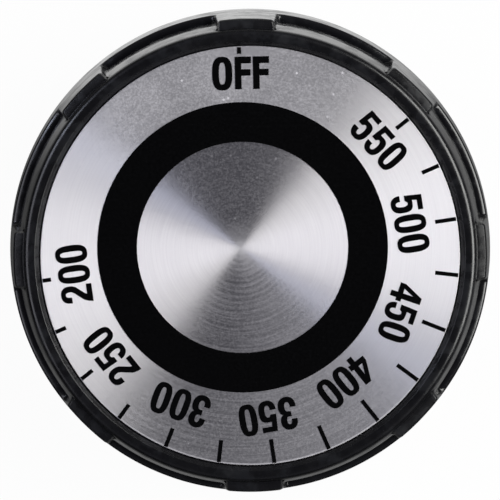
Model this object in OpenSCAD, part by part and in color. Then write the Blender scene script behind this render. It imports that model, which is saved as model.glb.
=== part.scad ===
// Griddle thermostat knob: a moulded phenolic body with a spun aluminium dial plate,
// the black print on that plate, and a leaf spring that takes up the play on the shaft.
// The back rim lies on z = 0, +Z runs along the shaft out of the dial, and +Y points to OFF.
// All sizes are in millimetres and degrees.

/* [Body] */
// Diameter of the flange at the back rim
base_d = 63.5; // [62.5:0.1:68]
// Height from the back rim to the front rim
knob_h = 22.2; // [20:0.1:26]
// Height of the flange, up to its outer edge
flange_h = 9.5; // [7:0.1:12]
// Draft of the flange's outer face
flange_draft = 2.7; // [1:0.1:4]
// Draft of the outer faces of the grips
outer_draft = 3.9; // [2:0.1:4.5]
// Slope of the ledge at the foot of each finger pocket
ledge_slope = 18; // [5:1:30]
// Width of that ledge
ledge_w = 1; // [0.5:0.05:1.2]
// Draft of the drum wall from the ledge up to its waist
drum_draft = 3.4; // [2:0.1:4.5]
// Height of the waist, from which the drum wall leans further in to the rim
waist_z = 17.2; // [14:0.1:18]
// Wall of the drum around the hollow back
wall = 2.4; // [1.8:0.1:3.5]
// Thickness of the front under the dial plate
front_t = 2.8; // [2:0.1:4]
// Radius of the small edges of the moulding
edge_r = 0.35; // [0.1:0.05:0.4]
// Radius between the wall and the ceiling of the hollow back
hollow_r = 1; // [0.5:0.1:2]

/* [Grips] */
// Number of grips around the drum
grip_count = 8; // [6:1:10]
// Width of a grip where it meets the drum at the front
grip_w = 7.45; // [5:0.05:9]
// How much narrower a grip is at its tip than at the drum
grip_taper = 0.35; // [0:0.05:0.8]
// Draft of the side faces of the grips
flank_draft = 2; // [0.5:0.1:4]
// How far the front faces of the grips lie below the rim
grip_step = 0.7; // [0.5:0.05:2]
// Fall of those faces from the drum to the tip
grip_fall = 0.12; // [0:0.01:0.3]

/* [Dial plate] */
// Diameter of the dial plate
plate_d = 54; // [50:0.1:55]
// Thickness of the dial plate
plate_t = 0.5; // [0.3:0.05:0.8]
// Depth of the plate's face below the rim
plate_sink = 0.5; // [0.3:0.05:1]
// Clearance around the plate
plate_gap = 0.2; // [0.05:0.01:0.4]
// Width of the bevel inside the rim
rim_bevel = 0.5; // [0.2:0.05:0.8]
// Width of the flat front of the rim
rim_w = 0.9; // [0.4:0.05:1.5]
// Radius of the rim's outer edge
rim_r = 0.5; // [0.2:0.05:0.6]
// Radius of the plate's upper edge
plate_edge_r = 0.1; // [0.05:0.01:0.2]

/* [Print] */
// Thickness of the ink
ink_t = 0.04; // [0.02:0.01:0.1]
// Inner diameter of the black ring
ring_in_d = 27.2; // [20:0.1:32]
// Outer diameter of the black ring
ring_out_d = 37.4; // [34:0.1:40]
// Sideways shift of the print on the plate
print_x = -0.95; // [-1.1:0.05:1.1]
// Shift of the print towards OFF
print_y = 1.1; // [-1.2:0.05:1.2]
// How far the point that the marks aim at lies below the ring's centre
mark_drop = 0.44; // [0:0.02:0.6]
// Length of a scale mark where the print is centred on the plate
mark_l = 2; // [1.6:0.1:3]
// Width of a scale mark
mark_w = 0.52; // [0.3:0.01:0.8]
// Angle between two marks
mark_pitch = 15; // [10:0.5:15]
// Number of marks on the temperature scale
mark_count = 15; // [5:1:15]
// Steps of the scale between OFF and its highest mark
off_steps = 3.5; // [3:0.5:5]
// Length of the mark above OFF
off_mark_l = 0.85; // [0.4:0.05:1.2]
// How much nearer to the centre that mark begins than the others
off_mark_in = 0.1; // [0:0.05:0.4]

/* [Hub] */
// Diameter of the hub at its mouth
hub_d = 14; // [12:0.1:18]
// Draft of the hub
hub_draft = 1; // [0.5:0.1:3]
// How far the hub's mouth lies inside the back rim
hub_recess = 1; // [0.2:0.1:3]
// Diameter of the control shaft
shaft_d = 6.35; // [5.8:0.01:6.6]
// Distance from the shaft's flat to its round side
shaft_flat = 5.54; // [5.2:0.01:5.7]
// Radial clearance in the stretch that takes the shaft's round shank
pilot_gap = 0.275; // [0.25:0.005:0.35]
// Length of that stretch
pilot_l = 4; // [2:0.1:6]
// Radial clearance of the D-shaped bore
d_gap = 0.05; // [0.02:0.01:0.08]
// Depth of the whole bore from the hub's mouth
bore_l = 15; // [13.5:0.1:16]
// Number of ribs between the hub and the drum
rib_count = 4; // [3:1:6]
// Thickness of a rib
rib_t = 1.8; // [1.2:0.1:2.5]
// How far the ribs lie inside the back rim
rib_recess = 3; // [1:0.1:6]

/* [Leaf spring] */
// Thickness of the spring leaf
leaf_t = 0.4; // [0.25:0.05:0.45]
// Width of the leaf
leaf_w = 2.8; // [2:0.1:3]
// Length of the leaf
leaf_l = 9; // [6:0.1:9.2]
// Length of each flat foot of the leaf
foot_l = 1.2; // [0.6:0.1:1.6]
// Clearance beside the leaf in its slot
slot_gap = 0.1; // [0.05:0.01:0.15]
// How far the leaf's bow stands into the D-shaped bore
bow_reach = 0.08; // [0.02:0.01:0.15]

/* [Hidden] */
$fn = 96;

// Overshoot that keeps cutting shapes clear of the faces they cut
cut = 1;
// Steps in a small rounded corner
corner_steps = 4;

base_r = base_d / 2;
flange_r = base_r - flange_h * tan(flange_draft);
foot_r = flange_r - ledge_w;
foot_z = flange_h + ledge_w * tan(ledge_slope);
waist_r = foot_r - (waist_z - foot_z) * tan(drum_draft);
recess_r = plate_d / 2 + plate_gap;
rim_in_r = recess_r + rim_bevel;
rim_out_r = rim_in_r + rim_w + rim_r;
seat_z = knob_h - plate_sink - plate_t;
face_z = seat_z + plate_t;
ceiling_z = seat_z - front_t;
grip_z = knob_h - grip_step;
flat_y = shaft_flat - shaft_d / 2 + d_gap;
bore_r = shaft_d / 2 + d_gap;
pilot_r = shaft_d / 2 + pilot_gap;
bore_end_z = hub_recess + bore_l;
leaf_back_y = pilot_r - slot_gap;
leaf_top_z = bore_end_z - slot_gap;
leaf_rise = leaf_back_y - leaf_t - flat_y + bow_reach;
mark_r = plate_d / 2 - mark_l;

// Radius at height z of the drum wall's lower part, carried on up and down in its own draft
function low_drum_r(z) = foot_r - (z - foot_z) * tan(drum_draft);

// Radius of the drum wall at height z
function drum_r(z) = z < waist_z ? low_drum_r(z)
    : waist_r + (rim_out_r - waist_r) * (z - waist_z) / (knob_h - waist_z);

// Radius of the outer face of the grips at height z
function outer_r(z) = flange_r - (z - flange_h) * tan(outer_draft);

function unit(v) = v / norm(v);

// Arc of radius r tangent to both legs of the corner c between a and b
function corner(a, c, b, r) =
    let (
        u = unit(a - c),
        v = unit(b - c),
        half = acos(u * v) / 2,
        m = c + unit(u + v) * r / sin(half),
        s = c + u * r / tan(half) - m,
        e = c + v * r / tan(half) - m,
        a0 = atan2(s.y, s.x),
        turn = atan2(s.x * e.y - s.y * e.x, s * e)
    )
    [for (i = [0:corner_steps]) m + r * [cos(a0 + turn * i / corner_steps), sin(a0 + turn * i / corner_steps)]];

// Closed outline through points [x, y, r], with each corner rounded to its radius r
function rounded(pts) =
    let (n = len(pts))
    [for (i = [0:n - 1])
        let (
            a = [pts[(i + n - 1) % n].x, pts[(i + n - 1) % n].y],
            c = [pts[i].x, pts[i].y],
            b = [pts[(i + 1) % n].x, pts[(i + 1) % n].y]
        )
        each pts[i].z > 0 ? corner(a, c, b, pts[i].z) : [c]];

// Flange with a full ring of grip height around it, before the finger pockets are cut
module blank() {
    tip_z = grip_z - grip_fall;
    rotate_extrude()
        polygon(rounded([
            [0, 0, 0],
            [base_r, 0, edge_r],
            [flange_r, flange_h, 0],
            [outer_r(tip_z), tip_z, edge_r],
            [rim_in_r, grip_z, 0],
            [rim_in_r, ceiling_z, 0],
            [0, ceiling_z, 0]
        ]));
}

// Drum with the dial seat in its front, and a small cove at its foot
module drum() {
    cove_z = foot_z + edge_r;
    rotate_extrude()
        polygon(rounded([
            [0, 0, 0],
            [foot_r - cut, 0, 0],
            [foot_r + cut, foot_z - cut, 0],
            [drum_r(cove_z), cove_z, 0],
            [waist_r, waist_z, 0],
            [rim_out_r, knob_h, rim_r],
            [rim_in_r, knob_h, 0],
            [recess_r, face_z, 0],
            [recess_r, seat_z, 0],
            [0, seat_z, 0]
        ]));
}

// Half of the space that a grip fills: everything on one side of its drafted side face
module grip_side() {
    tip = outer_r(grip_z);
    tip_half = (grip_w - grip_taper) / 2;
    spread = asin(tip_half / tip);
    reach = base_r / 2;
    // Keeps the bar's flat end just outside the conical face that ends the grip
    clear = 0.03;
    flank = [grip_taper / 2, drum_r(grip_z) - tip * cos(spread)];
    cap = [-cos(spread), sin(spread)];
    top = clear * [sin(spread), cos(spread)];
    translate([tip_half, tip * cos(spread), grip_z])
        rotate([outer_draft, -flank_draft, 0])
            translate([0, 0, -knob_h])
                linear_extrude(2 * knob_h)
                    polygon(rounded([
                        [top.x, top.y, edge_r],
                        concat(top + reach * cap, 0),
                        [-reach, -reach, 0],
                        concat(top + flank * reach / norm(flank), 0)
                    ]));
}

// Bar that fills one grip, its outer end towards +Y
module grip_bar() {
    intersection() {
        grip_side();
        mirror([1, 0, 0])
            grip_side();
    }
}

// Ring of finger pockets: their sloping floor and everything in front of it, between the grips
module pockets() {
    deep_r = foot_r - 2 * cut;
    far_r = base_r + cut;
    floor_z = foot_z + (foot_r - deep_r) * tan(ledge_slope);
    edge_z = flange_h + edge_r * tan(ledge_slope);
    difference() {
        rotate_extrude()
            polygon([
                [deep_r, floor_z],
                [flange_r - edge_r, edge_z],
                [far_r, edge_z - (far_r - flange_r + edge_r)],
                [far_r, knob_h],
                [deep_r, knob_h]
            ]);
        for (i = [0:grip_count - 1])
            rotate([0, 0, i * 360 / grip_count])
                grip_bar();
    }
}

// Space behind the front, bounded by the wall and by the ceiling
module hollow() {
    rotate_extrude()
        polygon(rounded([
            [0, -cut, 0],
            [low_drum_r(-cut) - wall, -cut, 0],
            [low_drum_r(ceiling_z) - wall, ceiling_z, hollow_r],
            [0, ceiling_z, 0]
        ]));
}

module hub() {
    hub_top = ceiling_z + cut;
    hub_h = hub_top - hub_recess;
    translate([0, 0, hub_recess])
        cylinder(h = hub_h, d1 = hub_d, d2 = hub_d + 2 * hub_h * tan(hub_draft));
}

// Ribs from the hub to the drum, under the grips that stand at the odd angles
module ribs() {
    for (i = [0:rib_count - 1])
        rotate([0, 0, 45 + i * 360 / rib_count])
            translate([0, -rib_t / 2, rib_recess])
                cube([base_r, rib_t, ceiling_z + cut - rib_recess]);
}

// Bore of the hub: a round stretch for the shank, then the D with the leaf's slot beside its flat
module shaft_bore() {
    translate([0, 0, hub_recess - cut])
        cylinder(h = pilot_l + cut, r = pilot_r);
    intersection() {
        translate([0, 0, hub_recess])
            cylinder(h = bore_l, r = bore_r);
        translate([-base_r, -flat_y, 0])
            cube([base_d, base_d, knob_h]);
    }
    slot_w = leaf_w + 2 * slot_gap;
    translate([-slot_w / 2, -leaf_back_y, hub_recess])
        cube([slot_w, leaf_back_y, bore_l]);
}

module knob_body() {
    color([0.09, 0.09, 0.1])
    difference() {
        union() {
            difference() {
                blank();
                pockets();
            }
            drum();
        }
        difference() {
            hollow();
            hub();
            ribs();
        }
        shaft_bore();
    }
}

module dial_plate() {
    plate_r = plate_d / 2;
    color([0.78, 0.78, 0.8])
    translate([0, 0, seat_z])
        rotate_extrude()
            polygon(rounded([
                [0, 0, 0],
                [plate_r, 0, 0],
                [plate_r, plate_t, plate_edge_r],
                [0, plate_t, 0]
            ]));
}

// Bar along +Y from radius r to beyond the plate's edge
module mark(r) {
    translate([-mark_w / 2, r])
        square([mark_w, base_r - r]);
}

// Fan of scale marks, all beginning at one distance from the ring's centre
module scale_marks() {
    difference() {
        translate([print_x, print_y - mark_drop])
            for (i = [0:mark_count - 1])
                rotate(-(off_steps + i) * mark_pitch)
                    mark(mark_r - mark_drop - cut);
        translate([print_x, print_y])
            circle(r = mark_r);
    }
}

module dial_print() {
    color([0.04, 0.04, 0.04])
    translate([0, 0, face_z])
        linear_extrude(ink_t) {
            translate([print_x, print_y])
                difference() {
                    circle(d = ring_out_d);
                    circle(d = ring_in_d);
                }
            intersection() {
                circle(r = plate_d / 2 - plate_edge_r);
                union() {
                    scale_marks();
                    translate([print_x - mark_w / 2, print_y + mark_r - off_mark_in])
                        square([mark_w, off_mark_l]);
                }
            }
        }
}

// Bowed leaf in the slot of the hub, with a flat foot at each end on the slot's back
module shaft_spring() {
    span = leaf_l - 2 * foot_l;
    bow_steps = 16;
    // Height of the leaf's back over the slot's back, along its length
    function rise(s) = s < foot_l || s > leaf_l - foot_l ? 0
        : leaf_rise * (1 - cos(360 * (s - foot_l) / span)) / 2;
    stations = concat([0], [for (i = [0:bow_steps]) foot_l + span * i / bow_steps], [leaf_l]);
    back = [for (s = stations) [rise(s), s]];
    front = [for (i = [len(stations) - 1:-1:0]) [rise(stations[i]) + leaf_t, stations[i]]];
    color([0.6, 0.6, 0.62])
    translate([-leaf_w / 2, -leaf_back_y, leaf_top_z - leaf_l])
        rotate([90, 0, 90])
            linear_extrude(leaf_w)
                polygon(concat(back, front));
}

knob_body();
dial_plate();
dial_print();
shaft_spring();
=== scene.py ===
"""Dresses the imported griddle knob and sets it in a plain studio.

The knob is a moulded phenolic body with eight drafted grips and a hollow, ribbed back, a spun
aluminium dial plate, the black print on that plate, and a leaf spring in the shaft bore. Shapes
are worked out in millimetres in the row frame (+Z out of the dial, +Y towards OFF) and written
to the meshes in metres.
"""

import logging
from collections.abc import Callable, Mapping, Sequence
from dataclasses import dataclass, field
from enum import Enum
from functools import partial
from typing import Any

import bmesh
import bpy
import numpy as np
from mathutils import Matrix, Vector


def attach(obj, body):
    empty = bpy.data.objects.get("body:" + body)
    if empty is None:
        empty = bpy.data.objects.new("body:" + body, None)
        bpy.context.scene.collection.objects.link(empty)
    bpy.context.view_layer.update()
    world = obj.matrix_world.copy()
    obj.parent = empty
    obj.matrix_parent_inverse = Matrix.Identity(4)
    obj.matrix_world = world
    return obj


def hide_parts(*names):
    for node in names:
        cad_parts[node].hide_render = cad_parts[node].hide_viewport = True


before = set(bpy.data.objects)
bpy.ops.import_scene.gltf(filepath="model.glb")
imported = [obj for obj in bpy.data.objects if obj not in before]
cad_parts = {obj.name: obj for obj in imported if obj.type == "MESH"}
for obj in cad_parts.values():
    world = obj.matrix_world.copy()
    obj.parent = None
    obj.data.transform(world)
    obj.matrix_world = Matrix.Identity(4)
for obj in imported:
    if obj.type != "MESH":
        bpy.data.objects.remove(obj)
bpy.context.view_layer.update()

log = logging.getLogger("griddle_knob")

MM = 0.001
# Anything smaller is taken as nothing
TINY = 1e-9
BODY = "root"
Array = np.ndarray
Socket = bpy.types.NodeSocket
NodeMaker = Callable[..., Mapping[str, Socket]]


class Slot(Enum):
    """Material slots for the scene's own pieces. No piece in this script is given one."""

    PHENOLIC = "phenolic"
    INK = "black_ink"
    STEEL = "spring_steel"


# Colours and nodes


def linear(hex_code: str) -> tuple[float, float, float, float]:
    """Turns an sRGB hex colour into linear RGBA.

    Args:
        hex_code: colour as "#rrggbb".

    Returns:
        Linear red, green, blue and an alpha of 1.
    """
    srgb = np.array([int(hex_code[i:i + 2], 16) for i in (1, 3, 5)]) / 255
    rgb = np.where(srgb <= 0.04045, srgb / 12.92, ((srgb + 0.055) / 1.055) ** 2.4)
    return (*(float(c) for c in rgb), 1.0)


def add_node(
    tree: bpy.types.NodeTree, kind: str, inputs: Mapping[str, Any] | Sequence[Any] = (), **settings: Any
) -> Mapping[str, Socket]:
    """Adds one node, with its settings, values and links.

    Args:
        tree: node tree that gets the node.
        kind: Blender's identifier of the node, without the ShaderNode that it begins with.
        inputs: values or output sockets that feed the inputs, by name or in the node's own order.
        settings: attributes of the node itself.

    Returns:
        The node's outputs.
    """
    made = tree.nodes.new("ShaderNode" + kind)
    for name, value in settings.items():
        setattr(made, name, value)
    for key, value in inputs.items() if isinstance(inputs, Mapping) else enumerate(inputs):
        if isinstance(value, Socket):
            tree.links.new(value, made.inputs[key])
        else:
            made.inputs[key].default_value = value
    return made.outputs


def new_material(name: str) -> tuple[bpy.types.Material, NodeMaker, Socket]:
    """Makes a material with no nodes but the one that gives the place on the object.

    Args:
        name: the material's name.

    Returns:
        The material, add_node for its tree, and the place in metres.
    """
    material = bpy.data.materials.new(name)
    material.use_nodes = True
    material.node_tree.nodes.clear()
    node = partial(add_node, material.node_tree)
    return material, node, node("TexCoord")["Object"]


# Meshes


def rounded_path(corners: Sequence[tuple[float, float, float]], steps: int = 5) -> Array:
    """Open path through corners, each rounded by a circular arc that touches both its legs.

    The arc of radius q in a corner of half angle h begins q / tan(h) from the corner, and its
    centre lies q / sin(h) along the corner's bisector.

    Args:
        corners: points (x, y, radius of rounding).
        steps: facets in an arc.

    Returns:
        Points of the path, one row each.
    """
    points = np.array(corners, float)
    out = [points[:1, :2]]
    for before, corner, after in zip(points[:-2], points[1:-1], points[2:]):
        if corner[2] <= 0:
            out.append(corner[None, :2])
            continue
        legs = np.stack([before[:2] - corner[:2], after[:2] - corner[:2]])
        legs /= np.linalg.norm(legs, axis=1, keepdims=True)
        half = np.arccos(legs[0] @ legs[1]) / 2
        middle = corner[:2] + legs.sum(0) / np.linalg.norm(legs.sum(0)) * corner[2] / np.sin(half)
        first, last = corner[:2] + legs * corner[2] / np.tan(half) - middle
        start = np.arctan2(first[1], first[0])
        turn = np.arctan2(first[0] * last[1] - first[1] * last[0], first @ last)
        angle = start + turn * np.linspace(0, 1, steps + 1)
        out.append(middle + corner[2] * np.stack([np.cos(angle), np.sin(angle)], axis=1))
    out.append(points[-1:, :2])
    return np.concatenate(out)


def filled(path: Array, spacing: float) -> Array:
    """Puts points into the long stretches of a path, evenly in each.

    Args:
        path: points, one row each.
        spacing: longest step that stays.

    Returns:
        Points of the denser path.
    """
    pieces = [path[:1]]
    for start, end in zip(path[:-1], path[1:]):
        count = max(1, int(np.ceil(np.linalg.norm(end - start) / spacing)))
        pieces.append(start + (end - start) * np.linspace(0, 1, count + 1)[1:, None])
    return np.concatenate(pieces)


def blended(start: Array, end: Array, share: float | Array) -> Array:
    """Goes from start to end as share goes from 0 to 1."""
    return start + (end - start) * share


def new_object(name: str, data: bpy.types.ID) -> bpy.types.Object:
    """Puts an object into the scene.

    Args:
        name: the object's name.
        data: its mesh, curve, lamp or camera.

    Returns:
        The object, at the origin.
    """
    made = bpy.data.objects.new(name, data)
    bpy.context.scene.collection.objects.link(made)
    return made


def grid_object(
    name: str, rows: Array, poles: tuple[Array, Array], sharp: float = 35.0
) -> bpy.types.Object:
    """Makes a closed mesh from rings of points and one pole at each end.

    Args:
        name: name of the object.
        rows: rings by columns by 3, in mm. The columns close round.
        poles: the point before the first ring and the one after the last, in mm.
        sharp: angle in degrees from which an edge is shaded as a corner.

    Returns:
        The object, with its faces outwards, at the origin.
    """
    rings, columns, _ = rows.shape
    points = np.concatenate([rows.reshape(-1, 3), np.stack(poles)])
    index = np.arange(rings * columns).reshape(rings, columns)
    after = np.roll(index, -1, axis=1)
    quads = np.stack([index[:-1], after[:-1], after[1:], index[1:]], axis=-1).reshape(-1, 4)
    first, last = np.full(columns, rings * columns), np.full(columns, rings * columns + 1)
    fans = np.concatenate([
        np.stack([first, after[0], index[0]], axis=-1),
        np.stack([last, index[-1], after[-1]], axis=-1),
    ])
    triangles = np.concatenate([quads[:, [0, 1, 2]], quads[:, [0, 2, 3]], fans])
    a, b, c = (points[triangles[:, i]] for i in range(3))
    if np.einsum("ij,ij->", a, np.cross(b, c)) < 0:
        quads, fans = quads[:, ::-1], fans[:, ::-1]
    mesh = bpy.data.meshes.new(name)
    mesh.vertices.add(len(points))
    mesh.vertices.foreach_set("co", (points * MM).astype(np.float32).ravel())
    mesh.loops.add(quads.size + fans.size)
    corners = np.concatenate([quads.ravel(), fans.ravel()])
    mesh.loops.foreach_set("vertex_index", corners.astype(np.int32))
    mesh.polygons.add(len(quads) + len(fans))
    starts = np.concatenate([np.arange(len(quads)) * 4, quads.size + np.arange(len(fans)) * 3])
    mesh.polygons.foreach_set("loop_start", starts.astype(np.int32))
    mesh.update(calc_edges=True)
    mesh.validate()
    mesh.shade_smooth()
    mesh.set_sharp_from_angle(angle=np.radians(sharp))
    made = new_object(name, mesh)
    weighted = made.modifiers.new("even_shading", "WEIGHTED_NORMAL")
    weighted.keep_sharp = True
    return made


def from_polar(bearing: Array, radius: Array, height: Array) -> Array:
    """Points from bearings clockwise from +Y in degrees, radii and heights."""
    angle = np.radians(bearing)
    return np.stack(np.broadcast_arrays(radius * np.sin(angle), radius * np.cos(angle), height), axis=-1)


def bearing_of(vector: Array) -> Array:
    """Bearing in degrees, clockwise from +Y, of vectors along the last axis."""
    return np.degrees(np.arctan2(vector[..., 0], vector[..., 1]))


# Finishes


@dataclass(frozen=True)
class MouldedPhenolic:
    """Black phenolic resin, compression moulded in a polished tool.

    It is nearly black with a semi-gloss skin. The gloss is a little uneven, and fine flow marks
    and orange peel break up the edges of its reflections. Handling has dulled it in patches, and
    the front faces, formed by a turned part of the tool, are less polished than the walls.
    """

    deep: str = "#08080a"
    pale: str = "#101013"
    wear: str = "#101115"
    ior: float = 1.58
    gloss: tuple[float, float] = (0.1, 0.2)
    wear_rough: float = 0.11
    face_rough: float = 0.09
    face_z: float = 20.9
    face_soft: float = 0.3
    mottle_mm: float = 2.2
    wear_mm: float = 3.6
    peel_mm: float = 0.9
    # The skin's real grain is finer. It is drawn as coarse as it needs to show
    grain_mm: float = 0.16

    def build(self) -> bpy.types.Material:
        """Makes the material.

        Returns:
            The material.
        """
        material, node, place = new_material("moulded_phenolic")
        # Size in mm, detail and roughness of each noise
        grains = {
            "mottle": (self.mottle_mm, 4.0, 0.6), "patch": (self.wear_mm, 3.0, 0.65),
            "peel": (self.peel_mm, 2.0, 0.5), "grain": (self.grain_mm, 3.0, 0.5),
        }
        noise = {
            name: node("TexNoise", {
                "Vector": place, "Scale": 1 / (size * MM), "Detail": detail, "Roughness": roughness,
            })["Fac"]
            for name, (size, detail, roughness) in grains.items()
        }
        height = node("SeparateXYZ", {"Vector": place})["Z"]
        # Start and end of each value, and what it gives there
        worn, face, rough = (
            node("MapRange", row)["Result"]
            for row in (
                (noise["patch"], 0.48, 0.62, 0.0, 1.0),
                (height, (self.face_z - self.face_soft) * MM, self.face_z * MM, 0.0, self.face_rough),
                (noise["mottle"], 0.3, 0.7, *self.gloss),
            )
        )
        rough = node("Math", (rough, face), operation="ADD")["Value"]
        rough = node("Math", (worn, self.wear_rough, rough), operation="MULTIPLY_ADD")["Value"]
        colour = linear(self.deep)
        for share, tint in ((noise["mottle"], self.pale), (worn, self.wear)):
            colour = node(
                "Mix", {"Factor": share, "A": colour, "B": linear(tint)}, data_type="RGBA"
            )["Result"]
        relief = node("Bump", {"Strength": 0.35, "Distance": 0.01 * MM, "Height": noise["peel"]})["Normal"]
        relief = node(
            "Bump", {"Strength": 0.3, "Distance": 0.003 * MM, "Height": noise["grain"], "Normal": relief}
        )["Normal"]
        skin = node(
            "BsdfPrincipled", {"Base Color": colour, "Roughness": rough, "IOR": self.ior, "Normal": relief}
        )
        node("OutputMaterial", {"Surface": skin["BSDF"]})
        return material


@dataclass(frozen=True)
class SpunAluminium:
    """Bare aluminium sheet, given a spun finish by an abrasive held against it while it turned.

    Its scratches run in rings about a centre that lies a little off the plate's own. They spread a
    reflection along the radius only, so light from the sides shows as bright sectors that narrow
    to the centre, with dark sectors between them. Where the finish is dull it scatters light
    evenly, which lifts the dark sectors: in fine grains, in a few specks, and in even rings that
    are clearest away from OFF. Three more dull places are painted highlights, put where the
    reflection is brighter: a thin line along the edge away from OFF, a patch over the outer part
    of the plate near OFF, and a faint lift on the side towards 450. The outer part of the plate
    is also a lighter colour, a painted brightening. At the centre, where the sheet scarcely moved
    under the abrasive, it is dull and a little darker.
    """

    centre: tuple[float, float] = (-1.2, 1.0)
    bright: str = "#e6e4e8"
    dull: str = "#d6d3d9"
    # Lighter colour of the outer part of the plate, a painted brightening
    outer: str = "#f6f5f7"
    hub: str = "#a9a8ab"
    # Real scratches and grains are finer. They are drawn as coarse as they need to show
    line_mm: float = 0.22
    grain_mm: float = 0.24
    ring_mm: float = 0.7
    wander_mm: float = 5.0
    cloud_mm: float = 7.0
    speck_mm: float = 2.6
    # Radii of a painted highlight: a dull patch over the outer part of the plate near OFF
    painted_sheen_mm: tuple[float, float] = (15.0, 18.5)
    # Radii of a painted highlight: a thin dull line along the edge away from OFF
    painted_glint_mm: tuple[float, float] = (26.7, 26.9)
    off_way: tuple[float, float] = (-0.34, 0.94)
    # Way towards 450, where the plate is dulled as a painted highlight
    low_way: tuple[float, float] = (0.85, -0.53)
    anisotropy: float = 0.95
    ring_share: float = 0.055
    line_share: float = 0.09
    grain_share: float = 0.09
    # A painted highlight: this share dulls the side of the plate towards 450
    low_share: float = 0.12
    # A painted highlight: this share dulls the outer part of the plate near OFF
    painted_sheen_share: float = 0.33
    # A painted highlight: this share dulls the edge away from OFF
    painted_glint_share: float = 0.4

    def build(self) -> bpy.types.Material:
        """Makes the material.

        Returns:
            The material.
        """
        material, node, place = new_material("spun_aluminium")
        level = node("VectorMath", (place, (1, 1, 0)), operation="MULTIPLY")["Vector"]
        shift = (-self.centre[0] * MM, -self.centre[1] * MM, 0)
        flat = node("VectorMath", (level, shift), operation="ADD")["Vector"]
        radial = node("VectorMath", (flat,), operation="NORMALIZE")["Vector"]
        side = node("SeparateXYZ", {"Vector": radial})
        radii = []
        for way in (flat, level):
            length = node("VectorMath", (way,), operation="LENGTH")["Value"]
            radii.append(node("Math", (length, 1 / MM), operation="MULTIPLY")["Value"])
        spun_r, plate_r = radii
        to_off, to_low = (
            node("VectorMath", (radial, (*way, 0)), operation="DOT_PRODUCT")["Value"]
            for way in (self.off_way, self.low_way)
        )

        # Scratch lines are noise that is fine along the radius and long around it
        across = node("Math", (spun_r, self.line_mm), operation="DIVIDE")["Value"]
        arcs = node("CombineXYZ", {"X": across, "Y": side["X"], "Z": side["Y"]})["Vector"]
        # Vector, size in its units, and detail of each noise
        grains = {
            "lines": (arcs, 1.0, 3.0), "wander": (place, self.wander_mm * MM, 1.0),
            "grain": (place, self.grain_mm * MM, 3.0), "cloud": (place, self.cloud_mm * MM, 2.0),
        }
        noise = {
            name: node(
                "TexNoise", {"Vector": vector, "Scale": 1 / size, "Detail": detail, "Roughness": 0.6}
            )["Fac"]
            for name, (vector, size, detail) in grains.items()
        }
        # Even rings are a wave along the radius, whose phase wanders from place to place
        phase = node("Math", (noise["wander"], 4.0), operation="MULTIPLY")["Value"]
        phase = node("Math", (spun_r, 2 * np.pi / self.ring_mm, phase), operation="MULTIPLY_ADD")["Value"]
        wave = node("Math", (phase,), operation="SINE")["Value"]
        cells = node(
            "TexVoronoi", {"Vector": place, "Scale": 1 / (self.speck_mm * MM)}, voronoi_dimensions="2D"
        )

        # Start and end of each value, and what it gives there
        ramps = {
            "ring": (wave, -0.6, 1.0, 0.0, self.ring_share),
            "ring_side": (side["Y"], 0.35, -0.75, 0.2, 1.0),
            "ring_fade": (spun_r, 5.0, 13.0, 1.0, 0.3),
            # Painted highlight: duller, so brighter, on the side towards 450
            "low": (to_low, 0.3, 1.0, 0.0, self.low_share),
            "line": (noise["lines"], 0.4, 0.7, 0.0, self.line_share),
            "line_side": (side["Y"], 0.3, -0.3, 0.35, 1.0),
            "grain": (noise["grain"], 0.38, 0.72, 0.0, self.grain_share),
            # Painted highlight: a dull patch over the outer part of the plate near OFF, broken up by noise
            "painted_sheen": (spun_r, *self.painted_sheen_mm, 0.0, self.painted_sheen_share),
            "painted_sheen_side": (to_off, 0.35, 0.85, 0.12, 1.0),
            "painted_sheen_cloud": (noise["cloud"], 0.3, 0.7, 0.85, 1.15),
            "painted_sheen_grain": (noise["grain"], 0.36, 0.7, 0.84, 1.17),
            "painted_sheen_line": (noise["lines"], 0.36, 0.7, 0.95, 1.06),
            # Painted highlight: a thin dull line along the plate's edge, only on the side away from OFF
            "painted_glint": (plate_r, *self.painted_glint_mm, 0.0, self.painted_glint_share),
            "painted_glint_side": (side["Y"], -0.4, -0.8, 0.0, 1.0),
            "speck": (cells["Distance"], 0.02, 0.085, 0.5, 0.0),
            "speck_out": (spun_r, 13.0, 17.0, 0.3, 1.0),
            "speck_rare": (to_off, 0.3, 0.7, 0.97, 0.66),
            "hub": (spun_r, 4.5, 0.5, 0.0, 0.2),
            "hub_dot": (spun_r, 1.6, -0.5, 0.0, 0.8),
            # Painted brightening: the outer part of the plate is given a lighter colour
            "outer": (spun_r, 12.0, 18.0, 0.0, 0.2),
            "rough": (noise["grain"], 0.35, 0.7, 0.42, 0.5),
        }
        share = {
            name: node("MapRange", row, interpolation_type="SMOOTHSTEP")["Result"]
            for name, row in ramps.items()
        }
        share["speck_on"] = node(
            "Math", (cells["Color"], share["speck_rare"]), operation="GREATER_THAN"
        )["Value"]
        share["hub"] = node("Math", (share["hub"], share["hub_dot"]), operation="ADD")["Value"]
        # How dull it is in all: a sum, in which each term is a product
        terms = (
            ("ring", "ring_side", "ring_fade"), ("low",), ("line", "line_side"), ("grain",),
            ("painted_sheen", "painted_sheen_side", "painted_sheen_cloud", "painted_sheen_grain", "painted_sheen_line"),
            ("painted_glint", "painted_glint_side"), ("speck", "speck_out", "speck_on"), ("hub",),
        )
        scatter: Socket | float = 0.0
        for first, *others in terms:
            term = share[first]
            for other in others:
                term = node("Math", (term, share[other]), operation="MULTIPLY")["Value"]
            scatter = node("Math", (scatter, term), operation="ADD")["Value"]
        metallic = node("Math", (1.0, scatter), operation="SUBTRACT", use_clamp=True)["Value"]

        streaks = node("Math", (noise["lines"], 1.4, -0.2), operation="MULTIPLY_ADD")["Value"]
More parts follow.
